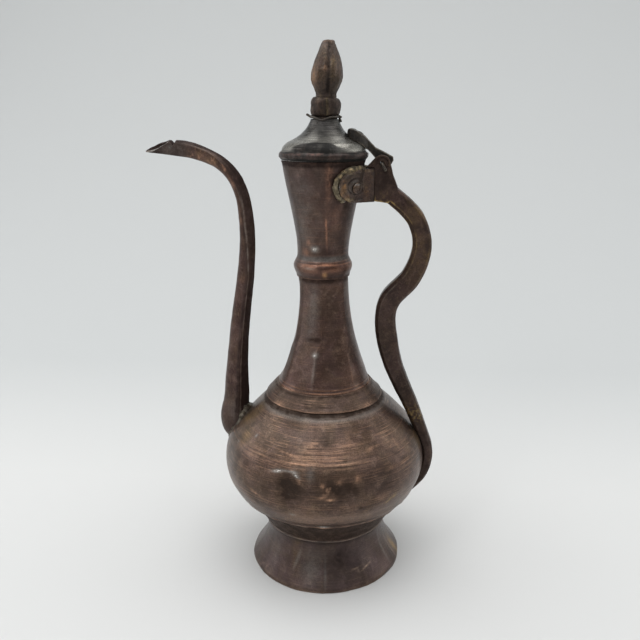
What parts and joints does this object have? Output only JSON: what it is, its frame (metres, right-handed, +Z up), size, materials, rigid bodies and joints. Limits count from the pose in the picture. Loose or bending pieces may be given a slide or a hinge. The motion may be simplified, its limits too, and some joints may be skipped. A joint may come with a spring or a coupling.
{
  "type": "ewer",
  "caption": "Copper ewer with a round belly on a flared foot, a tall neck, a long curved spout, a cast scroll handle and a hinged domed lid with a bud finial.",
  "frame": {"origin": "middle of the bounding box in X and Y, at the plane the foot stands on", "axes": "+Z up along the neck, +X towards the handle, the spout on -X, the ewer symmetric about Y = 0 apart from the wire ends"},
  "size_m": [0.2062, 0.1486, 0.38],
  "materials": {
    "sheet_copper": "beaten copper sheet, dark brown patina, worn",
    "foot_copper": "beaten copper sheet, smooth dark brown patina",
    "spout_copper": "folded copper sheet, dark reddish brown patina",
    "tinned_copper": "turned copper with worn grey tinning",
    "cast_brass": "cast brass, dark olive brown patina, bright at the edges",
    "dark_iron": "blackened wrought iron"
  },
  "bodies": {
    "vessel": {"foot_skirt": "foot_copper", "base_pan": "sheet_copper", "body_lower": "sheet_copper", "body_upper": "sheet_copper", "shoulder_collar": "sheet_copper", "neck_lower": "sheet_copper", "neck_upper": "sheet_copper", "spout_tube": "spout_copper", "handle": "cast_brass", "neck_saddle": "cast_brass", "saddle_rivet_near": "cast_brass", "saddle_rivet_far": "cast_brass", "hinge_pin": "dark_iron"},
    "lid": {"lid_dome": "tinned_copper", "lid_bezel": "tinned_copper", "lid_strap": "dark_iron", "strap_rivet_near": "dark_iron", "strap_rivet_far": "dark_iron", "finial_rove": "tinned_copper", "finial_knob": "cast_brass", "finial_bud": "cast_brass", "finial_wire": "dark_iron"}
  },
  "joints": [
    {"name": "lid_hinge", "type": "hinge", "parent": "vessel", "child": "lid", "pos_m": [0.06137, 0, 0.3016], "axis": [0, 1, 0], "range_deg": [0, 100]}
  ]
}
